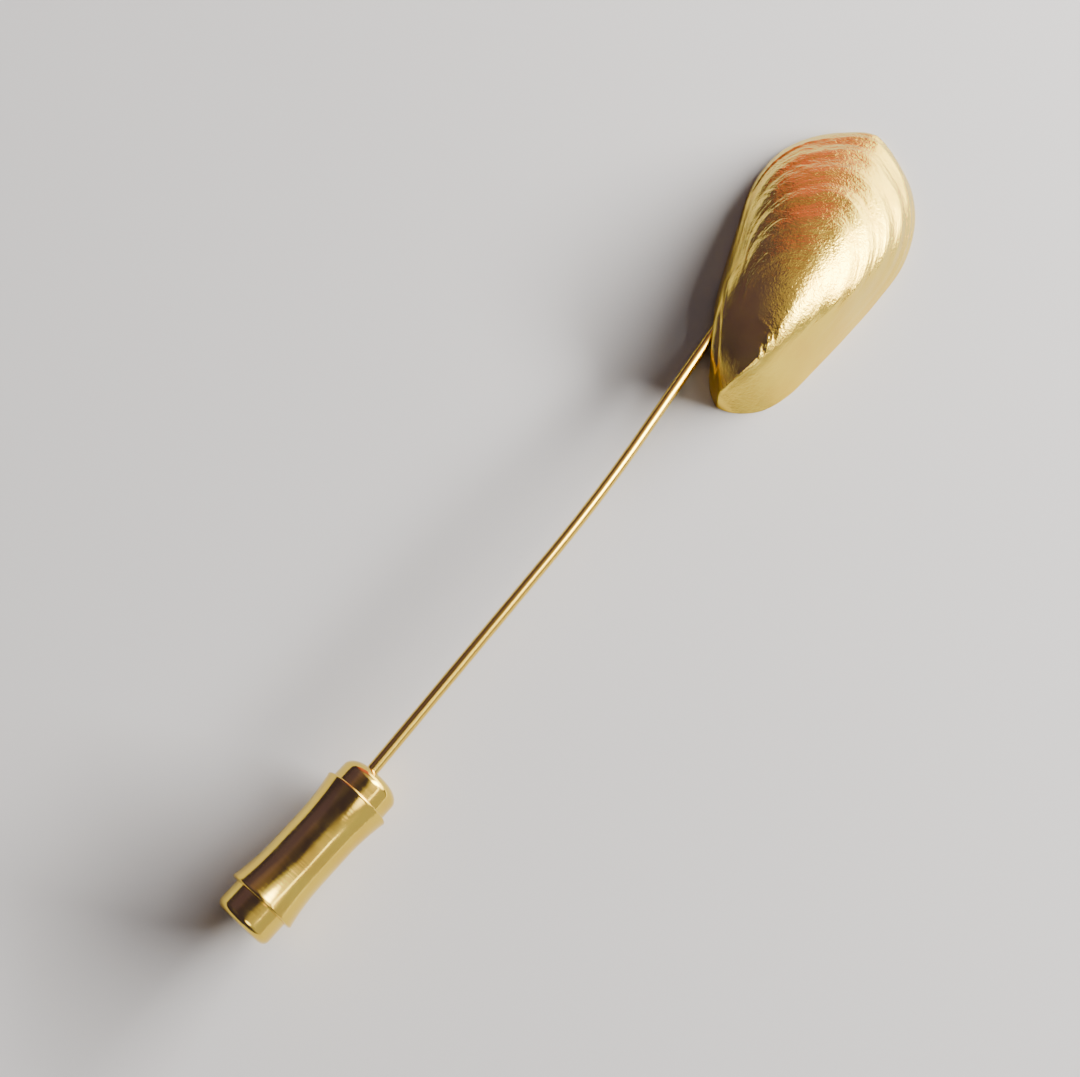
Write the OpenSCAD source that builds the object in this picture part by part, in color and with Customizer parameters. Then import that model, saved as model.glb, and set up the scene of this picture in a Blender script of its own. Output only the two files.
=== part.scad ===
// Stick pin: a mussel shell head on a pin wire, with a barrel clutch on the point.
// Millimetres, +Z up, lying on the plane z = 0, with the straight part of the wire along +X.
// The origin is the middle of the footprint of the whole pin.

/* [Shell] */
// length of the shell from its front to its far lip
shell_length = 28.75; // [26:0.25:32]
// thickness of the shell's wall
wall = 0.9; // [0.7:0.1:1]
// turn of the shell's long axis away from the wire's straight part
shell_turn = 9.2; // [8:0.1:10.5]
// height of a growth line above the band outside it
growth_step = 0.1; // [0.04:0.01:0.14]
// height of the gap in the left edge that the wire passes under
notch_height = 1.6; // [1.5:0.05:1.8]
// half the width of that gap, measured square to the wire
notch_half_width = 2.2; // [2:0.1:2.4]

/* [Wire] */
// diameter of the pin wire
wire_d = 0.8; // [0.7:0.05:0.85]
// length of the wire's point
point_length = 3; // [2:0.25:4]
// distance from the clutch's tail to the tip of the point
tip_inset = 1.5; // [1.3:0.1:2]
// distance from the clutch's tail to the start of the bend
bend_start = 30; // [28:0.5:31]
// radius of the bend
bend_radius = 98.5; // [95:0.5:105]
// angle of the bend
bend_angle = 7; // [6.8:0.1:7.2]
// roll of the bend, from level to straight down
bend_roll = 43.2; // [42:0.2:45]
// straight length from the bend to the wire's end inside the shell
tail_length = 15.2; // [14.8:0.1:15.5]
// diameter of the foot that the wire ends in
foot_d = 3.8; // [3.4:0.1:3.9]
// height of the foot's top above the ground
foot_top = 1.15; // [1:0.05:1.2]
// diameter of the post on the foot
post_d = 2; // [1.6:0.1:2.2]
// height of the post's top above the ground
post_top = 2.6; // [2.4:0.05:2.65]

/* [Clutch] */
// length of the clutch
clutch_length = 11.95; // [11.8:0.05:12.5]
// turn of the clutch's axis away from the wire, because the wire leaves off centre
clutch_turn = 3; // [2:0.1:3]
// distance of the clutch's axis from the wire at the tail
clutch_offset = 0.18; // [0.14:0.01:0.22]
// bare length of the tail
tail_bare = 1.75; // [1.5:0.05:1.9]
// bare length of the nose
nose_bare = 1.75; // [1.6:0.05:1.9]
// diameter of the tail
tail_d = 3.9; // [3.7:0.05:3.95]
// diameter of the nose
nose_d = 4.06; // [3.9:0.02:4.1]
// diameter of the sleeve at its ends
sleeve_d = 4.7; // [4.65:0.05:4.9]
// diameter of the sleeve's waist
waist_d = 4.08; // [4:0.02:4.2]
// diameter of the tube that the sleeve runs on
tube_d = 3; // [2.9:0.05:3.1]
// gap all round a running fit
fit_gap = 0.05; // [0.03:0.01:0.08]
// travel of the sleeve toward the tail
sleeve_travel = 1; // [0.6:0.1:1.1]

/* [Hidden] */
$fn = 96;

// Sections across the shell, from its front to its far lip. Columns: distance from the front in parts
// of the length, left edge, right edge, crest, crest height, the power and hardness of the curve from the
// crest down to the left edge, and the keel of the right side: its share of the way from the crest to the
// right edge, its height as a share of the crest's, and its sharpness.
shell_sections = [
    [0.000,  0.35,  0.35,  0.35, 0.00,  1.4, 0.52, 0.05, 1.000, 14],
    [0.016,  1.10, -1.25,  0.78, 1.45, 1.15, 0.42, 0.05, 1.000, 14],
    [0.057,  2.00, -2.65,  0.18, 2.75, 1.10, 0.42, 0.06, 1.000, 14],
    [0.134,  3.15, -3.80, -0.60, 3.95, 1.12, 0.42, 0.16, 0.985, 14],
    [0.238,  4.20, -4.60, -0.80, 4.60, 1.35, 0.43, 0.41, 0.910, 11],
    [0.377,  5.05, -5.57, -0.80, 4.90, 1.65, 0.46, 0.68, 0.800,  9],
    [0.517,  5.80, -6.40, -1.00, 4.60,  1.8, 0.48, 0.72, 0.730,  6],
    [0.656,  6.45, -6.90, -1.10, 3.85,  1.9, 0.50, 0.73, 0.700,  4],
    [0.795,  5.95, -6.30, -1.00, 2.75,  2.0, 0.55, 0.72, 0.680,  4],
    [0.899,  4.30, -4.75, -0.70, 1.70,  2.0, 0.60, 0.70, 0.660,  4],
    [0.969,  2.05, -2.50, -0.40, 1.00,  2.0, 0.60, 0.70, 0.660,  4],
    [0.9985, 0.25, -0.74, -0.27, 0.45,  2.0, 0.60, 0.70, 0.660,  4],
    [1.000, -0.25, -0.25, -0.25, 0.00,  2.0, 0.60, 0.70, 0.660,  4],
];
AT = 0;
LEFT = 1;
RIGHT = 2;
CREST = 3;
TOP = 4;
POWER = 5;
HARDNESS = 6;
KEEL = 7;
KEEL_LEVEL = 8;
KEEL_SHARPNESS = 9;

// the beak, where every growth line shrinks to, as seen from above
beak = [1.55, 0.22];
// the front of the shell in the pin's own layout, where x = 0 is the clutch's tail
shell_at = [48.8, -2.58];
// growth lines, each a share of the way from the beak to the edge
growth_lines = [0.965, 0.93, 0.885, 0.845, 0.79, 0.735, 0.68, 0.61, 0.55, 0.47, 0.39, 0.30];
// rows of points over the outside, from the edge in, as shares of the way out from the beak
edge_rows = [1, 0.9985, 0.994, 0.982];
beak_rows = [0.24, 0.18, 0.125, 0.08, 0.045, 0.02];
// how far past a growth line the outer band has dropped
line_width = 0.009;
// reach from the beak at which the growth lines have their full height
full_reach = 14;
// share of their height that they lose on the flank right of the keel, the distance from the shell's
// front where that ends, and the distance over which it fades out
flank_loss = 0.75;
flank_end = 21;
flank_fade = 6;
// rows of points over the inside
inner_rows = [1, 0.985, 0.95, 0.88, 0.78, 0.66, 0.52, 0.37, 0.22, 0.10, 0.03];
// points round the edge
columns = 72;
// distance from either end of the shell at which the spine of its hollow stops
spine_ends = [5, 6];
// distance from the shell's front past which no arch is left in the edge, and how fast the arch's lift
// of the outside fades on the way up from the edge
notch_end = 12;
notch_fade = 2.2;

axis_height = sleeve_d / 2;
wire_r = wire_d / 2;
// how far the wire's last part reaches back into the bend, and how much thinner it is there
joint_lap = 0.1;
joint_step = 0.008;
// radius of the blunt end of the point
tip_r = 0.05;
// middle of the foot and post, from the shell's front and its long axis
foot_at = [9.3, 1.45];
foot_bottom = 0.15;

sleeve_length = clutch_length - tail_bare - nose_bare;
// length of the shoulders that the tail and the nose keep inside the sleeve at rest
tail_shoulder = 0.15;
nose_shoulder = 0.8;
// rounding of the tail's rim, and of the nose along the axis and across it
tail_round = 0.45;
nose_round = [0.8, 1.15];
// rounding of the sleeve's rims, and how far from each rim its flare reaches
rim_round = 0.14;
flare_length = 3.1;
// distance from the clutch's tail to the floor of the wire's bore
bore_floor = 1;
// depth of the countersink where the wire leaves the nose, and how far its cone is drawn
mouth = 0.2;
mouth_reach = 0.8;
// steps in a quarter round and in a flare
round_steps = 6;
flare_steps = 8;

function bound(x, low, high) = min(max(x, low), high);
function smooth(x) = let (s = bound(x, 0, 1)) s * s * (3 - 2 * s);
function unit(v) = v / max(norm(v), 1e-9);

// Angle that spreads the sections evenly round the rounded ends of the shell.
function station(share) = acos(bound(1 - 2 * share, -1, 1));
stations = [for (row = shell_sections) station(row[AT])];
last = len(stations) - 1;
function row_under(angle, i = 0) =
    (i >= last - 1 || angle < stations[i + 1]) ? i : row_under(angle, i + 1);
function trend(i) =
    let (a = max(i - 1, 0), b = min(i + 1, last))
    (shell_sections[b] - shell_sections[a]) / (stations[b] - stations[a]);

// One whole section, worked out smoothly between the rows of the table.
function section(angle) =
    let (
        i = row_under(angle),
        span = stations[i + 1] - stations[i],
        s = (angle - stations[i]) / span,
        s2 = s * s,
        s3 = s2 * s
    )
    (2 * s3 - 3 * s2 + 1) * shell_sections[i] + (s3 - 2 * s2 + s) * span * trend(i)
    + (3 * s2 - 2 * s3) * shell_sections[i + 1] + (s3 - s2) * span * trend(i + 1);

// Height over the right side as a share of the crest's, at the share q of the way to the right edge: a
// flat top that bends at the keel into a straight flank.
function keel_curve(q, row) =
    let (
        top = 1 / (1 + (1 / row[KEEL_LEVEL] - 1) * pow(q / row[KEEL], 2)),
        flank = row[KEEL_LEVEL] * (1 - q) / (1 - row[KEEL]),
        n = row[KEEL_SHARPNESS]
    )
    top * flank / pow(pow(top, n) + pow(flank, n), 1 / n);

// Height of the shell over the point p, whose edge is lifted off the ground by the arch.
function height(p) =
    let (
        row = section(station(p[0] / shell_length)),
        left = p[1] > row[CREST],
        reach = row[left ? LEFT : RIGHT] - row[CREST],
        q = abs(reach) < 1e-6 ? 1 : bound((p[1] - row[CREST]) / reach, 0, 1),
        rise = left
            ? pow(max(1 - pow(q, row[POWER]), 0), row[HARDNESS])
            : keel_curve(q, row) / keel_curve(0, row)
    )
    max(row[TOP], 0) * rise + arch(p) * pow(1 - rise, notch_fade);

// The edge seen from above: out along the left side and back along the right one.
edge = [
    for (i = [0:columns - 1])
        let (
            half = columns / 2,
            out = i < half,
            angle = out ? 180 * i / half : 180 * (columns - i) / half,
            row = section(angle)
        )
        [shell_length * (1 - cos(angle)) / 2, row[out ? LEFT : RIGHT]]
];

// The spine of the hollow, under the crest, from which the wall's thickness is measured.
function spine(p) =
    let (x = bound(p[0], spine_ends[0], shell_length - spine_ends[1]))
    [x, section(station(x / shell_length))[CREST], 0];

// Rise of a band from the growth line inside it to the one outside it, which it ends above.
function band(t, i = 0) =
    i >= len(growth_lines) ? [0, growth_lines[i - 1]]
    : t > growth_lines[i] ? [growth_lines[i], i == 0 ? 1 : growth_lines[i - 1]]
    : band(t, i + 1);
// It fades at the edge and the beak, where the lines crowd together, and on the flank, for the column i.
function relief(t, i) =
    let (
        ends = band(t),
        s = (t - ends[0]) / (ends[1] - ends[0]),
        room = bound(norm(edge[i] - beak) / full_reach, 0, 1),
        flank = on_flank(beak + t * (edge[i] - beak))
    )
    growth_step * room * (1 - flank_loss * flank) * (s - 0.5) * smooth((1 - t) / 0.02) * smooth(t / 0.4);

// How far the point p is on the plain flank right of the keel, from 0 to 1.
function on_flank(p) =
    let (
        row = section(station(p[0] / shell_length)),
        across = (p[1] - row[CREST]) / min(row[RIGHT] - row[CREST], -0.1)
    )
    smooth((across - row[KEEL] + 0.05) / 0.15) * smooth((flank_end - p[0]) / flank_fade);

// How far the edge is lifted over the wire, for the point p of the shell.
function arch(p) =
    let (
        place = shell_to_layout(p),
        aside = abs(place[1] - wire_at(place[0])[1]) / notch_half_width,
        near = smooth((notch_end - p[0]) / 2)
    )
    notch_height * near * smooth(1.1 * (1 - aside));

// A point of the shell's own plan, laid into the layout.
function shell_to_layout(p) = [
    shell_at[0] + cos(shell_turn) * p[0] - sin(shell_turn) * p[1],
    shell_at[1] + sin(shell_turn) * p[0] + cos(shell_turn) * p[1]
];

// The end of the bend, the way that the wire runs on from there, and its middle at a distance x.
bend_end = [
    bend_start + bend_radius * sin(bend_angle),
    bend_radius * (1 - cos(bend_angle)) * cos(bend_roll),
    axis_height - bend_radius * (1 - cos(bend_angle)) * sin(bend_roll)
];
last_way = [
    cos(bend_angle),
    sin(bend_angle) * cos(bend_roll),
    -sin(bend_angle) * sin(bend_roll)
];
function wire_at(x) = bend_end + last_way * (x - bend_end[0]) / last_way[0];
foot_place = shell_to_layout(foot_at);

// The middle of the whole pin's footprint in the layout.
edge_in_layout = [for (p = edge) shell_to_layout(p)];
tail_x = tail_round * (cos(clutch_turn) - 1) - (tail_d / 2 - tail_round) * sin(clutch_turn);
middle = [
    (tail_x + max([for (p = edge_in_layout) p[0]])) / 2,
    (min([for (p = edge_in_layout) p[1]]) + max([for (p = edge_in_layout) p[1]])) / 2
];

// A point of the outside before the growth lines are raised, then with them, and one of the inside.
function plain_outside(t, i) =
    let (p = beak + t * (edge[i] - beak))
    [p[0], p[1], height(p)];
function outside(t, i) =
    let (p = plain_outside(t, i))
    p + relief(t, i) * unit(p - spine(p));
function inside(t, i) =
    let (p = plain_outside(t, i), q = p - wall * unit(p - spine(p)))
    [q[0], q[1], max(q[2], arch(q))];

outer_rows = concat(
    edge_rows,
    [
        for (i = [0:len(growth_lines) - 1])
            let (t = growth_lines[i], next = i + 1 < len(growth_lines) ? growth_lines[i + 1] : beak_rows[0])
            each [t + line_width, t, (t + next) / 2]
    ],
    beak_rows
);

// A closed skin from rings of points, each ring a row, with one point at its middle.
function ring_faces(rows, first, flip) = [
    for (r = [0:rows - 2], c = [0:columns - 1])
        let (
            a = first + r * columns + c,
            b = first + r * columns + (c + 1) % columns,
            d = a + columns,
            e = b + columns
        )
        each (flip ? [[a, d, b], [b, d, e]] : [[a, b, d], [b, e, d]])
];
function cap_faces(ring, point, flip) = [
    for (c = [0:columns - 1])
        let (a = ring + c, b = ring + (c + 1) % columns)
        flip ? [a, point, b] : [a, b, point]
];
function rim_faces(outer, inner) = [
    for (c = [0:columns - 1])
        let (d = (c + 1) % columns)
        each [[outer + c, inner + c, outer + d], [outer + d, inner + c, inner + d]]
];

module to_origin() {
    translate([-middle[0], -middle[1], 0]) children();
}

// Lays something that stands on its own z axis along the clutch, from the tail on.
module along_clutch() {
    translate([0, clutch_offset, axis_height]) rotate([0, 90, -clutch_turn]) children();
}

// Lays something that stands on its own z axis along the straight part of the wire.
module along_wire(x) {
    translate([x, 0, axis_height]) rotate([0, 90, 0]) children();
}

module shell() {
    outer = [for (t = outer_rows, i = [0:columns - 1]) outside(t, i)];
    inner = [for (t = inner_rows, i = [0:columns - 1]) inside(t, i)];
    top = len(outer);
    roof = top + 1 + len(inner);
    faces = concat(
        ring_faces(len(outer_rows), 0, false),
        cap_faces(top - columns, top, false),
        ring_faces(len(inner_rows), top + 1, true),
        cap_faces(roof - columns, roof, true),
        rim_faces(0, top + 1)
    );
    color([0.85, 0.68, 0.30])
        to_origin() translate([shell_at[0], shell_at[1], 0]) rotate([0, 0, shell_turn])
            polyhedron(
                points = concat(outer, [outside(0, 0)], inner, [inside(0, 0)]),
                faces = faces,
                convexity = 6
            );
}

module stem() {
    straight = bend_start - tip_inset;
    color([0.80, 0.62, 0.28]) to_origin() {
        // point and straight part
        along_wire(tip_inset) rotate_extrude()
            polygon([[0, 0], [tip_r, 0], [wire_r, point_length], [wire_r, straight], [0, straight]]);
        translate([bend_start, 0, axis_height]) rotate([-bend_roll, 0, 0]) translate([0, bend_radius, 0]) {
            // bend
            rotate([0, 0, -90]) rotate_extrude(angle = bend_angle)
                translate([bend_radius, 0]) circle(r = wire_r);
            // straight part into the shell, whose end lies just inside the bend's
            rotate([0, 0, bend_angle]) translate([-joint_lap, -bend_radius, 0]) rotate([0, 90, 0])
                cylinder(h = tail_length + joint_lap, r = wire_r - joint_step);
        }
        // foot and post in the hollow
        translate([foot_place[0], foot_place[1], foot_bottom]) {
            cylinder(h = foot_top - foot_bottom, d = foot_d);
            cylinder(h = post_top - foot_bottom, d = post_d);
        }
    }
}

// Outline of a round end that opens from a flat face of radius flat, and of one that closes to it.
function opening_round(flat, round) =
    [for (i = [0:round_steps]) let (a = 90 * i / round_steps) [flat + round * sin(a), round * (1 - cos(a))]];
function closing_round(flat, across, high) =
    [for (i = [0:round_steps]) let (a = 90 * i / round_steps) [flat + across * cos(a), high * sin(a)]];

module clutch_core() {
    tail_r = tail_d / 2;
    nose_r = nose_d / 2;
    nose_back = clutch_length - nose_bare - nose_shoulder;
    nose_front = clutch_length - nose_round[0];
    color([0.82, 0.66, 0.32]) to_origin() difference() {
        along_clutch() rotate_extrude() polygon(concat(
            [[0, 0]],
            opening_round(tail_r - tail_round, tail_round),
            [
                [tail_r, tail_bare + tail_shoulder],
                [tube_d / 2, tail_bare + tail_shoulder],
                [tube_d / 2, nose_back],
                [nose_r, nose_back]
            ],
            [for (p = closing_round(nose_r - nose_round[1], nose_round[1], nose_round[0])) p + [0, nose_front]],
            [[0, clutch_length]]
        ));
        // the bore lies along the wire, and not along the clutch
        along_wire(bore_floor) cylinder(h = clutch_length, r = wire_r + fit_gap);
        along_wire(clutch_length - mouth)
            cylinder(h = mouth_reach, r1 = wire_r + fit_gap, r2 = wire_r + fit_gap + mouth_reach);
    }
}

// Radius of the sleeve at a distance s from its nearer end.
function sleeve_radius(s) =
    let (left = max(1 - s / flare_length, 0))
    waist_d / 2 + (sleeve_d - waist_d) / 2 * left * left;
// One end of the sleeve's outline, from the rim to the waist.
sleeve_end = concat(
    opening_round(sleeve_d / 2 - rim_round, rim_round),
    [for (i = [1:flare_steps])
        let (s = rim_round + (flare_length - rim_round) * i / flare_steps)
        [sleeve_radius(s - rim_round * (1 - i / flare_steps)), s]]
);

module clutch_sleeve() {
    tube_hole = tube_d / 2 + fit_gap;
    tail_hole = tail_d / 2 + fit_gap;
    nose_hole = nose_d / 2 + fit_gap;
    tail_depth = tail_shoulder + sleeve_travel + 2 * fit_gap;
    nose_depth = nose_shoulder + fit_gap;
    last_point = len(sleeve_end) - 1;
    color([0.82, 0.66, 0.32]) to_origin() along_clutch() translate([0, 0, tail_bare])
        rotate_extrude() polygon(concat(
            sleeve_end,
            [for (i = [last_point:-1:0]) [sleeve_end[i][0], sleeve_length - sleeve_end[i][1]]],
            [
                [nose_hole, sleeve_length],
                [nose_hole, sleeve_length - nose_depth],
                [tube_hole, sleeve_length - nose_depth],
                [tube_hole, tail_depth],
                [tail_hole, tail_depth],
                [tail_hole, 0]
            ]
        ));
}

shell();
stem();
clutch_core();
clutch_sleeve();
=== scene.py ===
import math

import bpy
import numpy as np
from mathutils import Matrix, Vector


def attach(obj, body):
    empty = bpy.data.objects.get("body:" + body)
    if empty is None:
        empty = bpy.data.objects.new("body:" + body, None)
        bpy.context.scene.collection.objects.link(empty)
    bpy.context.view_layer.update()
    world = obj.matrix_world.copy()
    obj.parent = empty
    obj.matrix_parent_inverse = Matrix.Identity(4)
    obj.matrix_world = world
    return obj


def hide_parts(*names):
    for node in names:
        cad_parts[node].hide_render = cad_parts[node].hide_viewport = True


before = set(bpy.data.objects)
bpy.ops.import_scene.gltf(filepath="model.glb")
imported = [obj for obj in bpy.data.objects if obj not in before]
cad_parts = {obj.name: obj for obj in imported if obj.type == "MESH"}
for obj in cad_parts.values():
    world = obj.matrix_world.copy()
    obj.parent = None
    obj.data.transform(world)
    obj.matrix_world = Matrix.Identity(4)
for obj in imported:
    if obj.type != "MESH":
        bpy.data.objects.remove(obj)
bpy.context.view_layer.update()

# The stick pin's looks. Sizes are in millimetres, and every mesh is written in metres.
# The layout has x = 0 at the clutch's tail and y = 0 on the straight part of the wire.
MM = 0.001
SEED = 7

# Shell
SHELL_LENGTH = 28.75
SHELL_WALL = 0.9
# turn of the shell's long axis away from the wire, and the place of its front
SHELL_TURN = math.radians(9.2)
SHELL_AT = np.array([48.8, -2.58])
# the beak, which the growth lines spread from, in the shell's own plan
BEAK = np.array([1.55, 0.22])
# how far from the shell's front and from its far lip the spine of its hollow ends
SPINE_ENDS = (5.0, 6.0)
# the arch in the left edge over the wire: its height, half its width, where along the shell it begins and
# is full, how steep its sides are, and how fast its lift fades on the way up from the edge
ARCH_HEIGHT = 1.6
ARCH_HALF_WIDTH = 2.2
ARCH_RANGE = (12.0, 10.0)
ARCH_STEEPNESS = 1.1
ARCH_FADE = 2.2
# points of the solid's edge, which the footprint is worked out from
EDGE_POINTS = 72
# points round the scene's own mesh, and its rings over the outside and over the hollow back: how many,
# how much they crowd toward the edge, and the share of the way out at which the last one lies
SKIN_COLUMNS = 420
SKIN_RINGS = (206, 1.35, 0.004)
LINING_RINGS = (20, 1.6, 0.02)
# corner and size of the rectangle round the shell's plan that the plan's noise covers
NOISE_CORNER = (-5, -15)
NOISE_SIZE = (40, 30)

# Wire
WIRE_R = 0.4
# points round it, and rings of them along its point, its straight part, its bend and the rest
WIRE_SIDES = 64
WIRE_RINGS = (28, 60, 70, 60)
# from the clutch's tail to the tip of the point, and the length of the point
TIP_INSET = 1.5
POINT_LENGTH = 3.0
# the point's radius at its tip, as a share of the wire's, the height of the tip's own dome, and how the
# point's outline bends
TIP_SHARE = 0.1
TIP_DOME = 0.02
POINT_BEND = 0.75
# the bend, which rolls from level toward straight down, and the straight length past it
BEND_START = 30.0
BEND_RADIUS = 98.5
BEND_ANGLE = math.radians(7)
BEND_ROLL = math.radians(43.2)
TAIL_LENGTH = 15.2
# the foot, at its place in the shell's own plan, and the post on it
FOOT_AT = (9.3, 1.45)
FOOT_R = 1.9
FOOT_BOTTOM = 0.15
FOOT_TOP = 1.15
POST_R = 1.0
POST_TOP = 2.6
FOOT_ROUND = 0.15
POST_FILLET = 0.12

# Clutch
CLUTCH_LENGTH = 11.95
# turn of the clutch's axis away from the wire, and its distance from the wire at the tail
CLUTCH_TURN = math.radians(3)
CLUTCH_OFFSET = 0.18
# lengths of the tail and the nose that the sleeve leaves bare
TAIL_BARE = 1.75
NOSE_BARE = 1.75
# radii, and the roundings of the tail and of the nose, whose own is along the axis and across it
TAIL_R = 1.95
TAIL_ROUND = 0.45
NOSE_R = 2.03
NOSE_ROUND = (0.8, 1.15)
SLEEVE_R = 2.35
RIM_ROUND = 0.14
BORE_EDGE_ROUND = 0.04
WAIST_R = 2.04
TUBE_R = 1.5
FIT_GAP = 0.05
SLEEVE_TRAVEL = 1.0
# how far the tail and the nose reach into the sleeve, and how far from each rim its flare reaches
TAIL_SHOULDER = 0.15
NOSE_SHOULDER = 0.8
FLARE_LENGTH = 3.1
# the bore's floor, from the tail, and the depth of its countersunk mouth
BORE_FLOOR = 1.0
MOUTH = 0.2
AXIS_HEIGHT = SLEEVE_R
# points round the clutch's pieces and round the bore
CLUTCH_SIDES = 160
BORE_SIDES = 96
# points along the sleeve's flare and its waist, and along the core's round tail, its sides and its nose
FLARE_STEPS = 26
WAIST_STEPS = 12
TAIL_STEPS = 14
SIDE_STEPS = 6
NOSE_STEPS = 20
# radius of a ring on the tail's flat end, which keeps its shading flat
TAIL_RING_R = 0.6

# angle between faces, in degrees, past which an edge of a turned piece is crisp
SHARP_ANGLE = 35

# Sections across the shell, from its front to its far lip. Columns: distance from the front in parts
# of the length, left edge, right edge, crest, crest height, the power and hardness of the curve from the
# crest down to the left edge, and the keel of the right side: its share of the way from the crest to the
# right edge, its height as a share of the crest's, and its sharpness.
SHELL_SECTIONS = np.array([
    [0.000,  0.35,  0.35,  0.35, 0.00,  1.4, 0.52, 0.05, 1.000, 14],
    [0.016,  1.10, -1.25,  0.78, 1.45, 1.15, 0.42, 0.05, 1.000, 14],
    [0.057,  2.00, -2.65,  0.18, 2.75, 1.10, 0.42, 0.06, 1.000, 14],
    [0.134,  3.15, -3.80, -0.60, 3.95, 1.12, 0.42, 0.16, 0.985, 14],
    [0.238,  4.20, -4.60, -0.80, 4.60, 1.35, 0.43, 0.41, 0.910, 11],
    [0.377,  5.05, -5.57, -0.80, 4.90, 1.65, 0.46, 0.68, 0.800,  9],
    [0.517,  5.80, -6.40, -1.00, 4.60,  1.8, 0.48, 0.72, 0.730,  6],
    [0.656,  6.45, -6.90, -1.10, 3.85,  1.9, 0.50, 0.73, 0.700,  4],
    [0.795,  5.95, -6.30, -1.00, 2.75,  2.0, 0.55, 0.72, 0.680,  4],
    [0.899,  4.30, -4.75, -0.70, 1.70,  2.0, 0.60, 0.70, 0.660,  4],
    [0.969,  2.05, -2.50, -0.40, 1.00,  2.0, 0.60, 0.70, 0.660,  4],
    [0.9985, 0.25, -0.74, -0.27, 0.45,  2.0, 0.60, 0.70, 0.660,  4],
    [1.000, -0.25, -0.25, -0.25, 0.00,  2.0, 0.60, 0.70, 0.660,  4],
])
AT, LEFT, RIGHT, CREST, TOP, POWER, HARDNESS, KEEL, KEEL_LEVEL, KEEL_SHARPNESS = range(10)

# Growth bands that stand out. Columns: share of the way from the beak to the edge, height, and half
# width as a share.
GROWTH_BANDS = [
    [0.985,  0.020, 0.012],
    [0.950,  0.055, 0.016],
    [0.910, -0.050, 0.022],
    [0.868,  0.045, 0.022],
    [0.820, -0.045, 0.024],
    [0.765,  0.050, 0.028],
    [0.700, -0.045, 0.026],
    [0.645,  0.055, 0.024],
    [0.592, -0.050, 0.022],
    [0.535,  0.045, 0.024],
    [0.470, -0.040, 0.024],
    [0.405,  0.035, 0.024],
    [0.335, -0.025, 0.022],
]

# Waver of the growth lines, as a share of the way out: its height, and its cells out from the beak and
# round the shell.
WAVER = [(0.006, 5, 12), (0.003, 14, 40)]

# Fine lines between the bands: how many there are, and their height.
FINE_LINES = [(48, 0.014), (85, 0.011), (140, 0.007)]

# Uneven height of the bands and of the fine lines, as a share of their own: its mean, its swing, and its
# cells out from the beak and round the shell.
BAND_HEIGHT = (0.7, 0.5, 3, 11)
LINE_HEIGHT = (0.55, 0.75, 11, 30)

# Both are lower where the edge is near the beak: the reach at which they are full, and how fast they fall
# off below it. Next to the beak, the fine lines keep the last value's share of their height.
FULL_REACH = 23
REACH_POWER = 1.5
LINES_AT_BEAK = 0.35

# Leathery grain: the size of its cells, and its height.
GRAIN = [(0.9, 0.011), (0.42, 0.007)]

# Crinkles of the left flank: their height, the size of their cells, their slant and their stretch.
CRINKLE_HEIGHT = 0.022
CRINKLE_CELL = 0.36
CRINKLE_SLANT = 0.5
CRINKLE_STRETCH = 0.6

# Ranges over which a part of the relief sets in. The first value has none of it and the second has it all.
# These are shares of the way from the beak to the edge.
WAVER_RANGE = (1, 0.92)
LINES_RANGE = (0.3, 0.6)
BEAK_RANGE = (0, 0.3)
EDGE_RANGE = (1, 0.988)
CRINKLE_RIM = (1, 0.97)

# Stretches of the skin. Each has a range across the shell and one along it, in millimetres from its front.
# The calm ones also have how much they take from the relief and from the grain. Across the shell, the
# flank counts from the keel in shares of the right side, the front in millimetres from the crest, and the
# other two from the crest in shares of the left side.
CALM_FLANK = ((-0.05, 0.10), (21, 15), 0.75, 0.975)
CALM_FRONT = ((0.4, 1.6), (11, 5), 0.7, 0.75)
CALM_MARGIN = ((0.55, 0.85), (11.5, 9.5), 0.8, 0.6)
CRINKLED = ((0.35, 0.65), (10.5, 13.5))

# Small creases and folds on the shell's outside. Each has the points of its line, from the shell's front
# and its long axis, the half width of the line, and its height, which is negative for a groove.
FOLDS = [
    ([(0.30, 0.80), (0.87, 0.59), (1.74, 0.11), (2.71, -0.50), (3.60, -0.80)], 0.13, 0.035),
    ([(3.05, -0.62), (3.45, -0.35), (3.85, -0.10)], 0.10, 0.075),
    ([(3.65, -0.82), (4.25, -0.50), (4.95, -0.22)], 0.11, 0.085),
    ([(3.30, -0.80), (3.85, -0.48), (4.40, -0.30)], 0.10, -0.070),
    ([(5.20, -0.40), (5.60, 0.35), (6.00, 1.10)], 0.08, 0.045),
    ([(4.30, -1.05), (5.00, -0.75), (5.60, -0.55)], 0.12, -0.045),
]
# how fast a fold rises from its ends, and how far up that rise it starts
FOLD_START = (4, 0.15)

# Narrow band along the front of the left edge. Columns: distance from the front, and width of the band.
MARGIN_BAND = np.array([
    [0.40, 0.05],
    [1.06, 0.20],
    [2.30, 0.45],
    [3.90, 0.45],
    [6.00, 0.36],
    [6.80, 0.38],
    [8.60, 0.28],
    [9.40, 0.41],
    [10.1, 0.65],
    [10.6, 0.98],
])

# A groove sets off the band: its depth and half width, and the ranges along the shell over which it begins
# and ends. Further on, a thin crease runs beside it: its height, its distance in from the groove, its half
# width, and the range over which it begins.
GROOVE = (0.045, 0.13)
GROOVE_RANGES = ((0.3, 1.1), (10.9, 10.1))
CREASE = (0.05, 0.14, 0.08)
CREASE_RANGE = (5.0, 6.5)

# A groove sets off the thin lip of the upper left edge: the groove's depth, its share of the way out from
# the beak, its half width as a share, and the ranges along the shell over which it begins and ends.
LIP = (0.07, 0.935, 0.012)
LIP_RANGES = ((16.5, 18.5), (25.0, 22.5))

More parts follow.
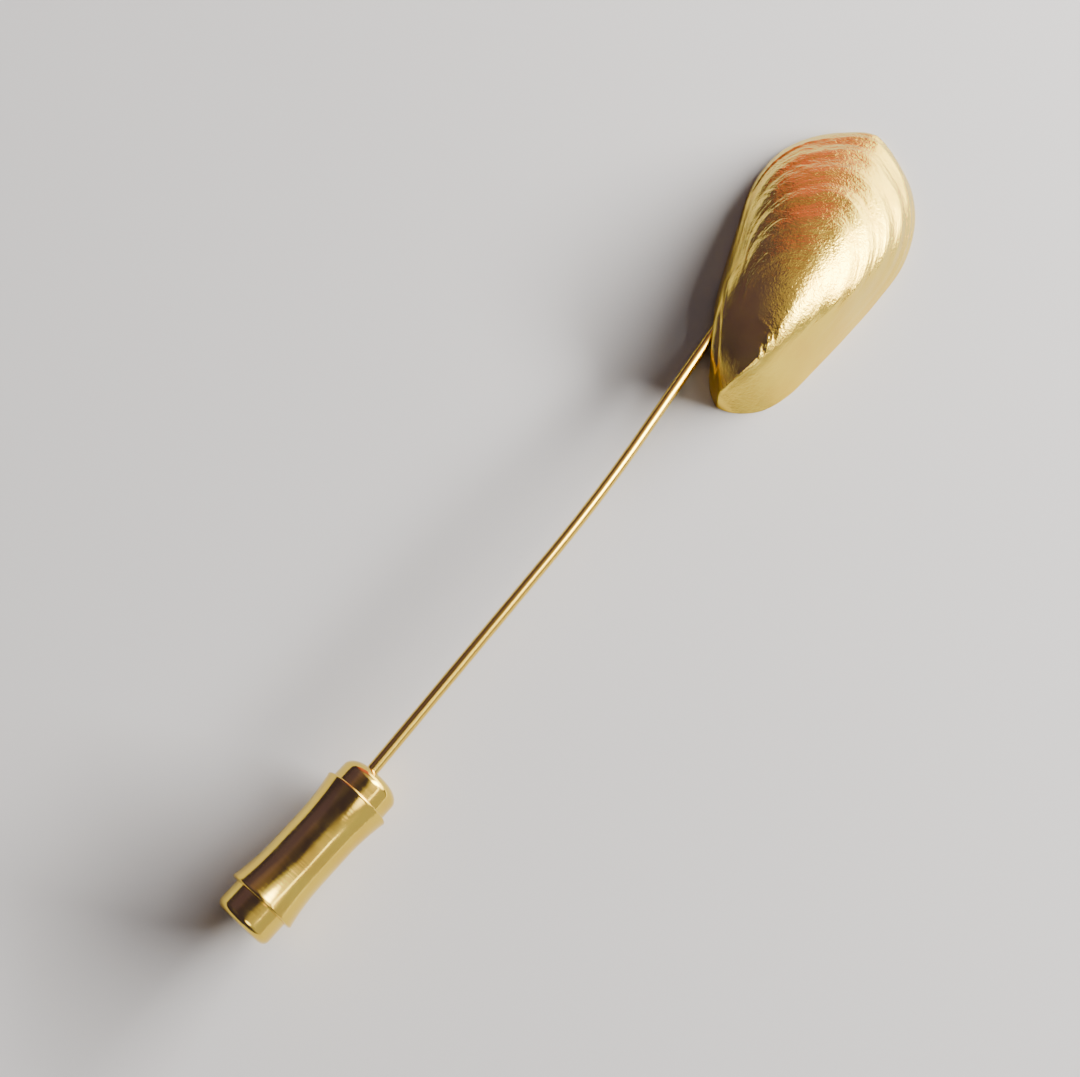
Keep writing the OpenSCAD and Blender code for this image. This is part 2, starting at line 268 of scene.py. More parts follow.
# half the floor's width and the backdrop's radius, in metres, their colours, and the backdrop's points up
# to its top and round it
FLOOR_HALF = 1.5
FLOOR_COLOR = (0.68, 0.66, 0.65, 1)
BACKDROP_R = 0.34
BACKDROP_STEPS = 25
BACKDROP_SIDES = 96
BACKDROP_GLOW = (0.66, 0.65, 0.64, 1)

# The lamps. Each row has a name, a place, a point that it faces, its width and height, all in metres, its
# power in watts, its colour, whether it lights the floor, and whether the gold mirrors it.
LAMPS = [
    ("window", (0.357, -0.241, 0.123), (0, 0, 0), (0.60, 0.060), 16.5, (1.0, 0.99, 0.97), True, False),
    ("fill", (-0.05, 0.05, 0.7), (0, 0, 0), (0.6, 0.6), 0.55, (1.0, 0.80, 0.78), True, False),
    ("strip", (0.12, -0.34, 0.37), (-0.02, 0, 0), (0.30, 0.032), 0.22, (1.0, 0.99, 0.97), True, True),
    ("near", (0.061, 0.031, 0.109), (0.025, -0.005, 0), (0.07, 0.07), 0.006, (1, 0.92, 0.75), False, True),
]

# The room's glow. Each row has a patch's azimuth from +X and its elevation, how far from its middle it
# stays full and where it is gone, all in degrees, and its colour.
ROOM_DARK = (0.058, 0.047, 0.260)
ROOM_GLOW = [
    (-30, 54, 3, 15, (26.0, 25.0, 24.0)),
    (-30, 38, 3, 16, (30.0, 29.0, 28.0)),
    (-32, 20, 6, 20, (9.00, 8.60, 8.00)),
    (-30, 48, 10, 36, (2.00, 1.88, 1.45)),
    (-8, 8, 6, 24, (8.50, 8.00, 5.90)),
    (-92, 18, 16, 50, (0.62, 0.62, 0.60)),
    (-135, 57, 3, 16, (6.00, 5.60, 4.80)),
    (27, 10, 9, 27, (0.86, 0.135, 0.08)),
    (27, 34, 4, 26, (0.15, 0.070, 0.09)),
    (45, 50, 6, 26, (0.12, 0.085, 0.07)),
    (75, 36, 8, 28, (0.055, 0.036, 0.22)),
    (120, 45, 5, 22, (0.05, 0.045, 0.06)),
    (-85, 60, 2, 30, (0.30, 0.26, 0.18)),
]

# The camera in the layout: its picture's width and focal length in pixels, its sensor in millimetres, the
# nearest and farthest that it sees in metres, its place in millimetres, and the ways to its picture's
# right, behind it and to its picture's top.
IMAGE_WIDTH = 1080
CAMERA_FOCAL_PX = 1400
CAMERA_SENSOR = 36
CAMERA_CLIP = (0.005, 10)
CAMERA_AT = (-2.20, -12.03, 90)
CAMERA_RIGHT = Vector((0.6021, -0.7909, 0.1094)).normalized()
CAMERA_BACK = Vector((-0.3532, -0.1409, 0.9249)).normalized()
CAMERA_UP = CAMERA_BACK.cross(CAMERA_RIGHT).normalized()


def smooth(x):
    """Smooth rise from 0 to 1 as x goes from 0 to 1, level before and after."""
    s = np.clip(x, 0, 1)
    return s * s * (3 - 2 * s)


def fade(value, start, end):
    """Smooth change from 0 at start to 1 at end, level before and after."""
    return smooth((value - start) / (end - start))


def ridge(far, half_width):
    """A soft ridge of height 1 along a line, from the distances to it."""
    return np.exp(-((far / half_width) ** 2))


def lay(points, middle):
    """Points of the layout, in millimetres, as points of the frame, in metres."""
    return (np.asarray(points, float) - [middle[0], middle[1], 0]) * MM


def smooth_mesh(name, points, faces, sharp_angle=180):
    """A smooth mesh whose edges are crisp where its faces meet at more than an angle."""
    mesh = bpy.data.meshes.new(name)
    mesh.from_pydata([tuple(p) for p in points], [], faces)
    mesh.validate()
    mesh.shade_smooth()
    mesh.set_sharp_from_angle(angle=math.radians(sharp_angle))
    return mesh


def mesh_piece(name, mesh, material, body, node, attributes=None):
    """A piece that rides on a body and stands for a CAD node."""
    for key, values in (attributes or {}).items():
        layer = mesh.attributes.new(key, "FLOAT", "POINT")
        layer.data.foreach_set("value", np.asarray(values, np.float32))
    mesh.materials.append(material)
    piece = bpy.data.objects.new(name, mesh)
    bpy.context.scene.collection.objects.link(piece)
    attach(piece, body)
    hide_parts(node)
    return piece


def ring_faces(rows, columns, first=0, flip=False):
    """Quads between closed rings of points, each ring a row."""
    faces = []
    for r in range(rows - 1):
        for c in range(columns):
            a = first + r * columns + c
            b = first + r * columns + (c + 1) % columns
            quad = (a, b, b + columns, a + columns)
            faces.append(quad[::-1] if flip else quad)
    return faces


def cap_faces(ring, point, columns, flip=False):
    """Triangles from a closed ring of points, given by its first, to one point."""
    faces = [(ring + c, ring + (c + 1) % columns, point) for c in range(columns)]
    return [f[::-1] for f in faces] if flip else faces


def round_corner(corner, before, after, radius, steps=6):
    """Points of an outline that rounds a corner, whose legs point away from it."""
    corner, before, after = (np.array(v, float) for v in (corner, before, after))
    centre = corner + radius * (before + after)
    return [
        tuple(centre - radius * (math.sin(a) * before + math.cos(a) * after))
        for a in np.linspace(0, math.pi / 2, steps + 1)
    ]


def turn(outline, sides):
    """A mesh turned round z from an outline of (radius, height) points. It closes at radius 0."""
    points, faces, rings = [], [], []
    for radius, height in outline:
        if radius < 1e-9:
            rings.append([len(points)])
            points.append(np.array([0.0, 0.0, height]))
            continue
        rings.append(list(range(len(points), len(points) + sides)))
        for k in range(sides):
            a = 2 * math.pi * k / sides
            points.append(np.array([radius * math.cos(a), radius * math.sin(a), height]))
    for low, high in zip(rings, rings[1:]):
        for k in range(sides):
            j = (k + 1) % sides
            if len(low) == 1:
                faces.append((low[0], high[j], high[k]))
            elif len(high) == 1:
                faces.append((low[k], low[j], high[0]))
            else:
                faces.append((low[k], low[j], high[j], high[k]))
    return points, faces


# The shell's form, from its table

def station(share):
    """Angle that spreads the sections evenly round the rounded ends of the shell."""
    return np.arccos(np.clip(1 - 2 * np.asarray(share, float), -1, 1))


STATIONS = station(SHELL_SECTIONS[:, AT])


def trends():
    """How fast each value of the table changes at each row, from the rows before and after it."""
    last = len(STATIONS) - 1
    before = [max(i - 1, 0) for i in range(last + 1)]
    after = [min(i + 1, last) for i in range(last + 1)]
    return (SHELL_SECTIONS[after] - SHELL_SECTIONS[before]) / (STATIONS[after] - STATIONS[before])[:, None]


TRENDS = trends()


def section(angle):
    """Whole sections, worked out smoothly between the rows of the table."""
    angle = np.asarray(angle, float)
    i = np.clip(np.searchsorted(STATIONS, angle, side="right") - 1, 0, len(STATIONS) - 2)
    span = (STATIONS[i + 1] - STATIONS[i])[..., None]
    s = (angle - STATIONS[i])[..., None] / span
    return (
        (2 * s**3 - 3 * s**2 + 1) * SHELL_SECTIONS[i] + (s**3 - 2 * s**2 + s) * span * TRENDS[i]
        + (3 * s**2 - 2 * s**3) * SHELL_SECTIONS[i + 1] + (s**3 - s**2) * span * TRENDS[i + 1]
    )


def shell_to_layout(x, y):
    """A point of the shell's own plan, laid into the layout."""
    c, s = math.cos(SHELL_TURN), math.sin(SHELL_TURN)
    return SHELL_AT[0] + c * x - s * y, SHELL_AT[1] + s * x + c * y


def bend_at(angle):
    """Centre and way of the wire at an angle round its bend."""
    aside = BEND_RADIUS * (1 - math.cos(angle))
    centre = [
        BEND_START + BEND_RADIUS * math.sin(angle),
        aside * math.cos(BEND_ROLL),
        AXIS_HEIGHT - aside * math.sin(BEND_ROLL),
    ]
    way = [math.cos(angle), math.sin(angle) * math.cos(BEND_ROLL), -math.sin(angle) * math.sin(BEND_ROLL)]
    return np.array(centre), np.array(way)


BEND_END, LAST_WAY = bend_at(BEND_ANGLE)


def arch(x, y):
    """How far the shell's edge is lifted over the wire."""
    along, across = shell_to_layout(x, y)
    wire_y = BEND_END[1] + LAST_WAY[1] * (along - BEND_END[0]) / LAST_WAY[0]
    aside = np.abs(across - wire_y) / ARCH_HALF_WIDTH
    return ARCH_HEIGHT * fade(x, *ARCH_RANGE) * smooth(ARCH_STEEPNESS * (1 - aside))


def keel_curve(q, share, level, sharpness):
    """Height over the right side: a flat top that bends at the keel into a straight flank."""
    top = 1 / (1 + (1 / level - 1) * (q / share) ** 2)
    flank = level * (1 - q) / (1 - share)
    return top * flank / (top**sharpness + flank**sharpness) ** (1 / sharpness)


def shell_height(x, y):
    """Height of the smooth shell over points of its plan."""
    row = section(station(x / SHELL_LENGTH))
    left = y > row[..., CREST]
    reach = np.where(left, row[..., LEFT], row[..., RIGHT]) - row[..., CREST]
    q = np.clip((y - row[..., CREST]) / np.where(np.abs(reach) < 1e-6, 1e-6, reach), 0, 1)
    keel = row[..., KEEL], row[..., KEEL_LEVEL], row[..., KEEL_SHARPNESS]
    rise = np.where(
        left,
        np.maximum(1 - q ** row[..., POWER], 0) ** row[..., HARDNESS],
        keel_curve(q, *keel) / keel_curve(0, *keel),
    )
    return np.maximum(row[..., TOP], 0) * rise + arch(x, y) * (1 - rise) ** ARCH_FADE


def shell_edge(columns):
    """The edge seen from above: out along the left side and back along the right one."""
    i = np.arange(columns)
    half = columns // 2
    angle = np.pi * np.where(i < half, i, columns - i) / half
    row = section(angle)
    return np.stack([
        SHELL_LENGTH * (1 - np.cos(angle)) / 2,
        np.where(i < half, row[:, LEFT], row[:, RIGHT]),
    ], -1)


def footprint_middle():
    """Middle of the whole pin's footprint in the layout."""
    x, y = shell_to_layout(*shell_edge(EDGE_POINTS).T)
    tail_x = TAIL_ROUND * (math.cos(CLUTCH_TURN) - 1) - (TAIL_R - TAIL_ROUND) * math.sin(CLUTCH_TURN)
    return (tail_x + x.max()) / 2, (y.min() + y.max()) / 2


def spine(x):
    """The spine of the shell's hollow, under the crest."""
    x = np.clip(x, SPINE_ENDS[0], SHELL_LENGTH - SPINE_ENDS[1])
    return np.stack([x, section(station(x / SHELL_LENGTH))[..., CREST], np.zeros_like(x)], -1)


def soft_noise(rows, columns, cells_down, cells_round, random):
    """Smooth noise from -1 to 1 over a grid, closed round its columns."""
    lattice = random.uniform(-1, 1, (cells_down + 3, cells_round))
    v = np.linspace(0, cells_down, rows)
    u = np.linspace(0, cells_round, columns, endpoint=False)
    i, j = v.astype(int), u.astype(int)
    a, b = smooth(v - i)[:, None], smooth(u - j)[None, :]
    j2 = (j + 1) % cells_round
    top = lattice[np.ix_(i, j)] * (1 - b) + lattice[np.ix_(i, j2)] * b
    low = lattice[np.ix_(i + 1, j)] * (1 - b) + lattice[np.ix_(i + 1, j2)] * b
    return top * (1 - a) + low * a


def plan_noise(x, y, cell, random):
    """Smooth noise from -1 to 1 over the shell's plan, in square cells of one size."""
    u, v = (x - NOISE_CORNER[0]) / cell, (y - NOISE_CORNER[1]) / cell
    lattice = random.uniform(-1, 1, [int(size / cell) + 2 for size in NOISE_SIZE])
    i, j = u.astype(int), v.astype(int)
    a, b = smooth(u - i), smooth(v - j)
    near = lattice[i, j] * (1 - b) + lattice[i, j + 1] * b
    far = lattice[i + 1, j] * (1 - b) + lattice[i + 1, j + 1] * b
    return near * (1 - a) + far * a


def normals_of(grid):
    """Outward unit normals of a grid of points whose columns close round."""
    around = np.roll(grid, -1, 1) - np.roll(grid, 1, 1)
    down = np.gradient(grid, axis=0)
    n = np.cross(down, around)
    return n / np.maximum(np.linalg.norm(n, axis=-1, keepdims=True), 1e-12)


def distance_to_line(x, y, line):
    """Distance of points from a line of a few points, and how far each lies along it, from 0 to 1."""
    line = np.array(line, float)
    near, along = np.full(x.shape, 1e9), np.zeros(x.shape)
    parts = len(line) - 1
    for k in range(parts):
        a, d = line[k], line[k + 1] - line[k]
        s = np.clip(((x - a[0]) * d[0] + (y - a[1]) * d[1]) / (d @ d), 0, 1)
        far = np.hypot(x - a[0] - s * d[0], y - a[1] - s * d[1])
        along = np.where(far < near, (k + s) / parts, along)
        near = np.minimum(near, far)
    return near, along


def uneven(shape, mean, swing, out, round_it, random):
    """A value that swings smoothly about its mean, over a grid of that shape."""
    return mean + swing * soft_noise(*shape, out, round_it, random)


def growth_relief(t, x, y, reach, random):
    """Growth bands, the fine lines between them and a leathery grain, as heights."""
    room = np.clip(reach / FULL_REACH, 0, 1)[None, :] ** REACH_POWER
    waver = sum(high * soft_noise(*x.shape, out, round_it, random) for high, out, round_it in WAVER)
    level = t + waver * fade(t, *WAVER_RANGE)
    relief = np.zeros_like(x)
    for at, high, half_width in GROWTH_BANDS:
        relief += high * uneven(x.shape, *BAND_HEIGHT, random) * room * ridge(level - at, half_width)
    # the fine lines break up as they run
    near_beak = LINES_AT_BEAK + (1 - LINES_AT_BEAK) * fade(t, *LINES_RANGE)
    for count, high in FINE_LINES:
        bumps = random.uniform(-1, 1, count + 3)
        v = np.clip(level, 0, 1.02) * count
        i = np.clip(v.astype(int), 0, count + 1)
        a = smooth(v - i)
        lines = bumps[i] * (1 - a) + bumps[i + 1] * a
        relief += high * lines * uneven(x.shape, *LINE_HEIGHT, random) * room * near_beak
    for cell, high in GRAIN:
        relief += high * plan_noise(x, y, cell, random)
    return relief


def fold_relief(x, y):
    """The small creases and folds, as heights. Each fades at its ends."""
    relief = np.zeros_like(x)
    rise, start = FOLD_START
    for line, half_width, high in FOLDS:
        far, along = distance_to_line(x, y, line)
        ends = smooth(rise * along + start) * smooth(rise * (1 - along) + start)
        relief += high * ridge(far, half_width) * ends
    return relief


def margin_relief(t, x, y, row):
    """The band along the left edge and the thin lip of the upper left edge, as heights."""
    left = y > row[..., CREST]
    inside = row[..., LEFT] - y - np.interp(x, MARGIN_BAND[:, 0], MARGIN_BAND[:, 1])
    front = fade(x, *GROOVE_RANGES[0]) * fade(x, *GROOVE_RANGES[1]) * left
    depth, half_width = GROOVE
    groove = depth * front * ridge(inside, half_width)
    high, aside, half_width = CREASE
    crease = high * front * fade(x, *CREASE_RANGE) * ridge(inside - aside, half_width)
    depth, at, half_width = LIP
    lip = depth * fade(x, *LIP_RANGES[0]) * fade(x, *LIP_RANGES[1]) * left * ridge(t - at, half_width)
    return crease - groove - lip


def shell_relief(t, x, y, reach, random):
    """All that is raised or sunk on the shell's outside, as heights, and how grainy its skin is."""
    row = section(station(x / SHELL_LENGTH))
    from_crest = y - row[..., CREST]
    past_keel = from_crest / np.minimum(row[..., RIGHT] - row[..., CREST], -0.1) - row[..., KEEL]
    down_left = from_crest / np.maximum(row[..., LEFT] - row[..., CREST], 0.1)
    relief = growth_relief(t, x, y, reach, random)
    # past the middle, the left flank is crinkled
    across, along = CRINKLED
    crinkled = fade(down_left, *across) * fade(x, *along) * fade(t, *CRINKLE_RIM)
    crinkles = plan_noise(x + CRINKLE_SLANT * y, CRINKLE_STRETCH * y, CRINKLE_CELL, random)
    relief += CRINKLE_HEIGHT * crinkled * crinkles
    # the flank right of the keel, the front of the left one and its margin are calmer than the rest
    grain = np.ones_like(x)
    for place, stretch in ((past_keel, CALM_FLANK), (from_crest, CALM_FRONT), (down_left, CALM_MARGIN)):
        across, along, less_relief, less_grain = stretch
        calm = fade(place, *across) * fade(x, *along)
        relief *= 1 - less_relief * calm
        grain *= 1 - less_grain * calm
    relief *= fade(t, *EDGE_RANGE) * fade(t, *BEAK_RANGE)
    relief += fold_relief(x, y) + margin_relief(t, x, y, row)
    return relief, grain


def shell_rings(edge, rings):
    """Rings of points over the smooth shell, from its edge in to the beak. Also each point's share of the
    way out from the beak."""
    rows, crowding, last = rings
    t = (1 - np.linspace(0, 1, rows) ** crowding)[:, None] + np.zeros(len(edge))
    t[-1] = last
    plan = BEAK + t[..., None] * (edge - BEAK)
    return np.concatenate([plan, shell_height(plan[..., 0], plan[..., 1])[..., None]], -1), t


def shell_lining(edge):
    """Points over the shell's hollow back."""
    base = shell_rings(edge, LINING_RINGS)[0]
    way = base - spine(base[..., 0])
    lining = base - SHELL_WALL * way / np.maximum(np.linalg.norm(way, axis=-1, keepdims=True), 1e-9)
    lining[..., 2] = np.maximum(lining[..., 2], arch(lining[..., 0], lining[..., 1]))
    return lining


def shell_in_frame(grid, middle):
    """A grid of points of the shell's own form, as one list of points of the frame."""
    x, y = shell_to_layout(grid[..., 0], grid[..., 1])
    return lay(np.stack([x, y, grid[..., 2]], -1).reshape(-1, 3), middle)


def build_shell(material, middle):
    """The shell: its outside with the relief, its hollow back, and the flat edge between them."""
    columns = SKIN_COLUMNS
    edge = shell_edge(columns)
    skin, t = shell_rings(edge, SKIN_RINGS)
    reach = np.linalg.norm(edge - BEAK, axis=-1)
    relief, grain = shell_relief(t, skin[..., 0], skin[..., 1], reach, np.random.default_rng(SEED))
    # the relief leaves the edge itself, the first ring, where it is
    skin[1:] += (relief[..., None] * normals_of(skin))[1:]
    skin[..., 2] = np.maximum(skin[..., 2], 0)

    outer = shell_in_frame(skin, middle)
    inner = shell_in_frame(shell_lining(edge), middle)
    top, first = len(outer), len(outer) + 1
    roof = first + len(inner)
    points = np.concatenate([outer, outer[-columns:].mean(0)[None], inner, inner[-columns:].mean(0)[None]])
    faces = ring_faces(SKIN_RINGS[0], columns, 0, True) + cap_faces(top - columns, top, columns, True)
    faces += ring_faces(LINING_RINGS[0], columns, first) + cap_faces(roof - columns, roof, columns)
    faces += [(c, (c + 1) % columns, first + (c + 1) % columns, first + c) for c in range(columns)]
    rest = np.zeros(len(inner) + 2)
    fields = {"growth": t, "raised": relief, "grain": grain}
    attributes = {key: np.concatenate([values.ravel(), rest]) for key, values in fields.items()}
    mesh = smooth_mesh("mussel_shell", points, faces)
    return mesh_piece("mussel_shell", mesh, material, "pin", "shell", attributes)


# The pin wire

def wire_line():
    """Centres, ways and radii along the wire, from the tip of the point to the foot."""
    rows = []
    on_point, on_straight, on_bend, on_tail = WIRE_RINGS
    for s in np.linspace(0, 1, on_point):
        radius = WIRE_R * (TIP_SHARE + (1 - TIP_SHARE) * s**POINT_BEND)
        rows.append(((TIP_INSET + POINT_LENGTH * s, 0, AXIS_HEIGHT), (1, 0, 0), radius))
    for x in np.linspace(TIP_INSET + POINT_LENGTH, BEND_START, on_straight)[1:]:
        rows.append(((x, 0, AXIS_HEIGHT), (1, 0, 0), WIRE_R))
    for angle in np.linspace(0, BEND_ANGLE, on_bend)[1:]:
        rows.append((*bend_at(angle), WIRE_R))
    for s in np.linspace(0, TAIL_LENGTH, on_tail)[1:]:
        rows.append((BEND_END + LAST_WAY * s, LAST_WAY, WIRE_R))
    return rows


def wire_tube():
    """Points and faces of the wire, closed at both ends."""
    points = []
    for centre, way, radius in wire_line():
        way = np.array(way, float)
        right = np.cross(way, [0, 0, 1])
        right /= np.linalg.norm(right)
        up = np.cross(right, way)
        for k in range(WIRE_SIDES):
            a = 2 * math.pi * k / WIRE_SIDES
            points.append(np.array(centre) + radius * (math.cos(a) * right + math.sin(a) * up))
    rows = len(points) // WIRE_SIDES
    faces = ring_faces(rows, WIRE_SIDES)
    points.append(np.array([TIP_INSET - TIP_DOME, 0, AXIS_HEIGHT]))
    faces += cap_faces(0, len(points) - 1, WIRE_SIDES, True)
    points.append(BEND_END + LAST_WAY * TAIL_LENGTH)
    faces += cap_faces((rows - 1) * WIRE_SIDES, len(points) - 1, WIRE_SIDES)
    return points, faces


def foot_outline():
    """The foot and the post on it, as radii and heights."""
    outline = [(0.0, FOOT_BOTTOM)]
    outline += round_corner((FOOT_R, FOOT_BOTTOM), (-1, 0), (0, 1), FOOT_ROUND)
    outline += round_corner((FOOT_R, FOOT_TOP), (0, -1), (-1, 0), FOOT_ROUND)
    outline += round_corner((POST_R, FOOT_TOP), (1, 0), (0, 1), POST_FILLET)
    outline += round_corner((POST_R, POST_TOP), (0, -1), (-1, 0), FOOT_ROUND)
    outline.append((0.0, POST_TOP))
    return outline


def build_stem(material, middle):
    points, faces = wire_tube()
    first = len(points)
    turned, more = turn(foot_outline(), WIRE_SIDES)
    foot = np.array([*shell_to_layout(*FOOT_AT), 0])
    points += [foot + p for p in turned]
    faces += [tuple(first + i for i in f) for f in more]
    mesh = smooth_mesh("pin_stem", lay(np.array(points), middle), faces, SHARP_ANGLE)
    return mesh_piece("pin_stem", mesh, material, "pin", "stem")


# The clutch

def along_clutch(points):
    """Points of a piece turned round z, laid along the clutch's axis in the layout."""
    p = np.asarray(points, float)
    c, s = math.cos(CLUTCH_TURN), math.sin(CLUTCH_TURN)
    x, y, z = p[:, 2], p[:, 1], -p[:, 0]
    return np.stack([c * x + s * y, CLUTCH_OFFSET - s * x + c * y, AXIS_HEIGHT + z], -1)


def sleeve_radius(s):
    """Radius of the sleeve's outside at a distance from its nearer rim."""
    left = max(1 - s / FLARE_LENGTH, 0)
    return WAIST_R + (SLEEVE_R - WAIST_R) * left * left


def sleeve_outline():
    """Radii and places along the clutch, out over the sleeve's outside and back through its bore."""
    length = CLUTCH_LENGTH - TAIL_BARE - NOSE_BARE
    tail_depth = TAIL_SHOULDER + SLEEVE_TRAVEL + 2 * FIT_GAP
    nose_depth = NOSE_SHOULDER + FIT_GAP
    half = round_corner((SLEEVE_R, 0), (-1, 0), (0, 1), RIM_ROUND)
    for s in np.linspace(RIM_ROUND, FLARE_LENGTH, FLARE_STEPS)[1:]:
        half.append((sleeve_radius(s - RIM_ROUND * (1 - s / FLARE_LENGTH)), s))
    waist = np.linspace(FLARE_LENGTH, length - FLARE_LENGTH, WAIST_STEPS)[1:-1]
    outline = half + [(sleeve_radius(FLARE_LENGTH), s) for s in waist]
    outline += [(r, length - s) for r, s in reversed(half)]
    outline += round_corner((NOSE_R + FIT_GAP, length), (1, 0), (0, -1), BORE_EDGE_ROUND)
    outline += [
        (NOSE_R + FIT_GAP, length - nose_depth),
        (TUBE_R + FIT_GAP, length - nose_depth),
        (TUBE_R + FIT_GAP, tail_depth),
        (TAIL_R + FIT_GAP, tail_depth),
    ]
    outline += round_corner((TAIL_R + FIT_GAP, 0), (0, 1), (1, 0), BORE_EDGE_ROUND)
    outline.append(half[0])
    return [(r, s + TAIL_BARE) for r, s in outline]


def core_outline():
    """Radii and places along the clutch, from the tail to the nose."""
    nose_back = CLUTCH_LENGTH - NOSE_BARE - NOSE_SHOULDER
    tail_front = TAIL_BARE + TAIL_SHOULDER
    along, across = NOSE_ROUND
    outline = [(0.0, 0.0), (TAIL_RING_R, 0.0)]
    outline += round_corner((TAIL_R, 0), (-1, 0), (0, 1), TAIL_ROUND, TAIL_STEPS)
    outline += [(TAIL_R, s) for s in np.linspace(TAIL_ROUND, tail_front, SIDE_STEPS)[1:]]
    outline += [(TUBE_R, tail_front), (TUBE_R, nose_back), (NOSE_R, nose_back)]
    start = CLUTCH_LENGTH - along
    outline += [(NOSE_R, s) for s in np.linspace(nose_back, start, SIDE_STEPS)[1:-1]]
    outline += [
        (NOSE_R - across + across * math.cos(a), start + along * math.sin(a))
        for a in np.linspace(0, math.pi / 2, NOSE_STEPS)
    ]
    outline.append((0.0, CLUTCH_LENGTH))
    return outline


def along_wire(points):
    """Points of a piece turned round z, laid along the straight part of the wire in the layout."""
    p = np.asarray(points, float)
    return np.stack([p[:, 2], p[:, 1], AXIS_HEIGHT - p[:, 0]], -1)


def bored(mesh, cutter):
    """The mesh with another one cut away from it."""
    scene = bpy.context.scene.collection
    solid, tool = bpy.data.objects.new("solid", mesh), bpy.data.objects.new("tool", cutter)
    for piece in (solid, tool):
        scene.objects.link(piece)
    cut = solid.modifiers.new("bore", "BOOLEAN")
    cut.object = tool
    cut.operation = "DIFFERENCE"
    cut.solver = "EXACT"
    bpy.context.view_layer.update()
    made = bpy.data.meshes.new_from_object(solid.evaluated_get(bpy.context.evaluated_depsgraph_get()))
    for piece in (solid, tool):
        bpy.data.objects.remove(piece)
    made.name = mesh.name
    return made


def build_core(material, middle):
    """The core, with the bore and the countersunk mouth that the wire runs in."""
    bore_r = WIRE_R + FIT_GAP
    # the mouth's cone runs on past the nose, so that it cuts clear of it
    bore = [
        (0.0, BORE_FLOOR), (bore_r, BORE_FLOOR), (bore_r, CLUTCH_LENGTH - MOUTH),
        (bore_r + 3 * MOUTH, CLUTCH_LENGTH + 2 * MOUTH), (0.0, CLUTCH_LENGTH + 2 * MOUTH),
    ]
    points, faces = turn(core_outline(), CLUTCH_SIDES)
    mesh = smooth_mesh("clutch_core_turned", lay(along_clutch(points), middle), faces)
    points, faces = turn(bore, BORE_SIDES)
    mesh = bored(mesh, smooth_mesh("bore", lay(along_wire(points), middle), faces))
    mesh.shade_smooth()
    mesh.set_sharp_from_angle(angle=math.radians(SHARP_ANGLE))
    return mesh_piece("clutch_core_turned", mesh, material, "clutch", "clutch_core")


def build_sleeve(material, middle):
    points, faces = turn(sleeve_outline(), CLUTCH_SIDES)
    mesh = smooth_mesh("clutch_sleeve_turned", lay(along_clutch(points), middle), faces, SHARP_ANGLE)
    return mesh_piece("clutch_sleeve_turned", mesh, material, "sleeve", "clutch_sleeve")


# Materials

class Nodes:
    """Short names for building a tree of shader nodes."""

    def __init__(self, tree):
        self.tree = tree

    def feed(self, node, inputs):
        """Sets inputs of a node, each to a constant or to another node's output."""
        for key, value in inputs.items():
            if isinstance(value, bpy.types.NodeSocket):
                self.tree.links.new(value, node.inputs[key])
            else:
                node.inputs[key].default_value = value

    def node(self, kind, inputs, **settings):
        """A new node with its settings and its inputs."""
        node = self.tree.nodes.new(kind)
        for key, value in settings.items():
            setattr(node, key, value)
        self.feed(node, inputs)
        return node

    def attribute(self, name):
        return self.node("ShaderNodeAttribute", {}, attribute_name=name).outputs["Fac"]

    def place(self, scale=(1, 1, 1)):
        """Places on the object, in millimetres times scale."""
        coordinates = self.node("ShaderNodeTexCoord", {})
        inputs = {"Vector": coordinates.outputs["Object"], "Scale": tuple(s / MM for s in scale)}
        return self.node("ShaderNodeMapping", inputs).outputs[0]

    def noise(self, scale, detail, place=None, distortion=0.0):
        place = place or self.place()
        inputs = {"Vector": place, "Scale": scale, "Detail": detail, "Distortion": distortion}
        return self.node("ShaderNodeTexNoise", inputs).outputs[0]

    def ramp(self, value, stops):
        """Colours that change smoothly between stops, each a place and a colour."""
        node = self.node("ShaderNodeValToRGB", {"Fac": value})
        ramp = node.color_ramp
        while len(ramp.elements) < len(stops):
            ramp.elements.new(0.5)
        for element, (at, color) in zip(ramp.elements, stops):
            element.position = at
            element.color = (*color, 1)
        return node.outputs[0]

    def span(self, value, low, high, from_low=0.3, from_high=0.7, **settings):
        """A value spread to low and high from its own range, which by default is that of most noise."""
        inputs = {
            "Value": value, "To Min": low, "To Max": high,
            "From Min": from_low, "From Max": from_high,
        }
        return self.node("ShaderNodeMapRange", inputs, **settings).outputs[0]

    def maths(self, operation, a, b):
        return self.node("ShaderNodeMath", {0: a, 1: b}, operation=operation).outputs[0]

    def vector_maths(self, operation, inputs):
        return self.node("ShaderNodeVectorMath", inputs, operation=operation)

    def bump(self, height, strength, distance):
        inputs = {"Height": height, "Strength": strength, "Distance": distance}
        return self.node("ShaderNodeBump", inputs).outputs[0]


class Material(Nodes):
    """A material of one shader."""

    def __init__(self, name):
        self.material = bpy.data.materials.new(name)
        self.material.use_nodes = True
        super().__init__(self.material.node_tree)
        self.tree.nodes.clear()
        self.shader = self.node("ShaderNodeBsdfPrincipled", {})
        self.node("ShaderNodeOutputMaterial", {"Surface": self.shader.outputs[0]})

    def surface(self, **inputs):
        """Sets inputs of the shader. An underscore stands for a space."""
        self.feed(self.shader, {key.replace("_", " "): value for key, value in inputs.items()})


GOLD = (0.85, 0.61, 0.075)
GOLD_WARM = (0.82, 0.55, 0.068)
GOLD_PALE = (0.88, 0.65, 0.090)


